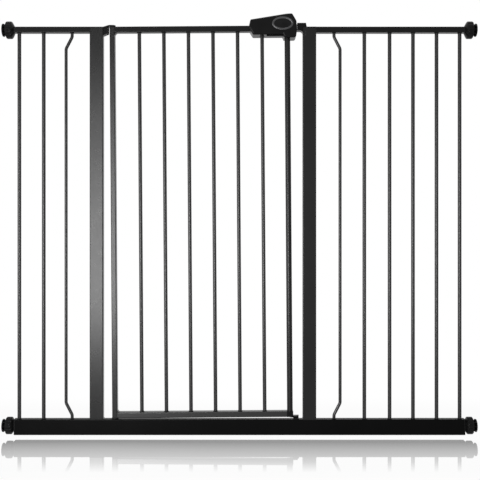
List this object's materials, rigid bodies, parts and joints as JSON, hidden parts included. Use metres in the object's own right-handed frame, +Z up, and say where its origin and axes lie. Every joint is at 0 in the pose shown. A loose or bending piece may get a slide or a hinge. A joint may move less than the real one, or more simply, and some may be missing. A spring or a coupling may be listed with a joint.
{
  "type": "safety baby gate",
  "caption": "Extra-tall pressure-fit safety gate of black tube: hinged barred door with a slide-bolt handle, fixed barred side sections and screw-out wall feet with hand wheels.",
  "frame": {"origin": "under the middle of the gate's width, on the underside of the bottom rail, in the gate's middle plane", "axes": "+X along the gate from the hinge side to the lock side, +Y away from the viewer, +Z up"},
  "size_m": [1.204, 0.0472, 1.0669],
  "materials": {
    "frame_paint": "satin black powder coat",
    "moulded_plastic": "fine-grained black moulding",
    "lock_plastic": "smooth dark grey moulding",
    "wheel_plastic": "black moulding with fluted grip",
    "foot_plastic": "black moulding",
    "plug_plastic": "black moulding",
    "zinc_steel": "zinc-plated steel",
    "rivet_paint": "black-painted rivet heads",
    "badge_silver": "satin silver",
    "badge_field": "smooth dark field, bare"
  },
  "bodies": {
    "frame": {"bottom_hinge_pin": "zinc_steel", "bottom_rail": "frame_paint", "door_stop": "moulded_plastic", "hinge_washer": "plug_plastic", "keeper": "moulded_plastic", "keeper_rivets": "rivet_paint", "left_bar_1": "frame_paint", "left_bar_2": "frame_paint", "left_bent_bar": "frame_paint", "left_bottom_plug": "plug_plastic", "left_post": "frame_paint", "left_top_plug": "plug_plastic", "left_top_rail": "frame_paint", "right_bar_1": "frame_paint", "right_bar_2": "frame_paint", "right_bar_3": "frame_paint", "right_bar_4": "frame_paint", "right_bar_5": "frame_paint", "right_bent_bar": "frame_paint", "right_bottom_plug": "plug_plastic", "right_post": "frame_paint", "right_top_plug": "plug_plastic", "right_top_rail": "frame_paint", "top_hinge_bracket": "moulded_plastic", "top_hinge_pin": "zinc_steel"},
    "door": {"badge_plate": "badge_field", "badge_ring": "badge_silver", "bottom_hinge_bush": "plug_plastic", "door_bar_1": "frame_paint", "door_bar_2": "frame_paint", "door_bar_3": "frame_paint", "door_bar_4": "frame_paint", "door_bar_5": "frame_paint", "door_bar_6": "frame_paint", "door_bottom_rail": "frame_paint", "door_foot": "moulded_plastic", "door_hinge_tube": "frame_paint", "door_lock_tube": "frame_paint", "door_top_rail": "frame_paint", "handle_front": "moulded_plastic", "handle_rear": "moulded_plastic", "handle_screws": "zinc_steel", "lock_spring": "zinc_steel", "top_hinge_bush": "plug_plastic"},
    "lock": {"lock_bolt": "lock_plastic", "thumb_slide": "lock_plastic"},
    "left_bottom_spindle": {"left_bottom_spindle": "zinc_steel", "left_bottom_foot": "foot_plastic"},
    "left_bottom_wheel": {"left_bottom_wheel": "wheel_plastic"},
    "left_top_spindle": {"left_top_spindle": "zinc_steel", "left_top_foot": "foot_plastic"},
    "left_top_wheel": {"left_top_wheel": "wheel_plastic"},
    "right_bottom_spindle": {"right_bottom_spindle": "zinc_steel", "right_bottom_foot": "foot_plastic"},
    "right_bottom_wheel": {"right_bottom_wheel": "wheel_plastic"},
    "right_top_spindle": {"right_top_spindle": "zinc_steel", "right_top_foot": "foot_plastic"},
    "right_top_wheel": {"right_top_wheel": "wheel_plastic"}
  },
  "joints": [
    {"name": "door_swing", "type": "hinge", "parent": "frame", "child": "door", "pos_m": [-0.3163, 0, 0.04], "axis": [0.007, 0, -1], "range_deg": [0, 90]},
    {"name": "lock_slide", "type": "slide", "parent": "door", "child": "lock", "axis": [1, 0, 0.007], "range_m": [0, 0.013], "stiffness_N_per_m": 100, "springref_m": 0.02},
    {"name": "left_bottom_wheel_spin", "type": "hinge", "parent": "frame", "child": "left_bottom_wheel", "pos_m": [-0.5825, 0, 0.02255], "axis": [1, 0, 0], "range_deg": [0, 3600]},
    {"name": "left_bottom_spindle_slide", "type": "slide", "parent": "frame", "child": "left_bottom_spindle", "axis": [-1, 0, 0], "range_m": [0, 0.03]},
    {"name": "left_top_wheel_spin", "type": "hinge", "parent": "frame", "child": "left_top_wheel", "pos_m": [-0.5825, 0, 1.02875], "axis": [1, 0, 0], "range_deg": [0, 3600]},
    {"name": "left_top_spindle_slide", "type": "slide", "parent": "frame", "child": "left_top_spindle", "axis": [-1, 0, 0], "range_m": [0, 0.03]},
    {"name": "right_bottom_wheel_spin", "type": "hinge", "parent": "frame", "child": "right_bottom_wheel", "pos_m": [0.5825, 0, 0.02255], "axis": [-1, 0, 0], "range_deg": [0, 3600]},
    {"name": "right_bottom_spindle_slide", "type": "slide", "parent": "frame", "child": "right_bottom_spindle", "axis": [1, 0, 0], "range_m": [0, 0.03]},
    {"name": "right_top_wheel_spin", "type": "hinge", "parent": "frame", "child": "right_top_wheel", "pos_m": [0.5825, 0, 1.02875], "axis": [-1, 0, 0], "range_deg": [0, 3600]},
    {"name": "right_top_spindle_slide", "type": "slide", "parent": "frame", "child": "right_top_spindle", "axis": [1, 0, 0], "range_m": [0, 0.03]}
  ],
  "couplings": [
    {"joint": "left_bottom_spindle_slide", "follows": "left_bottom_wheel_spin", "m_per_rad": 0.00047746},
    {"joint": "left_top_spindle_slide", "follows": "left_top_wheel_spin", "m_per_rad": 0.00047746},
    {"joint": "right_bottom_spindle_slide", "follows": "right_bottom_wheel_spin", "m_per_rad": 0.00047746},
    {"joint": "right_top_spindle_slide", "follows": "right_top_wheel_spin", "m_per_rad": 0.00047746}
  ]
}
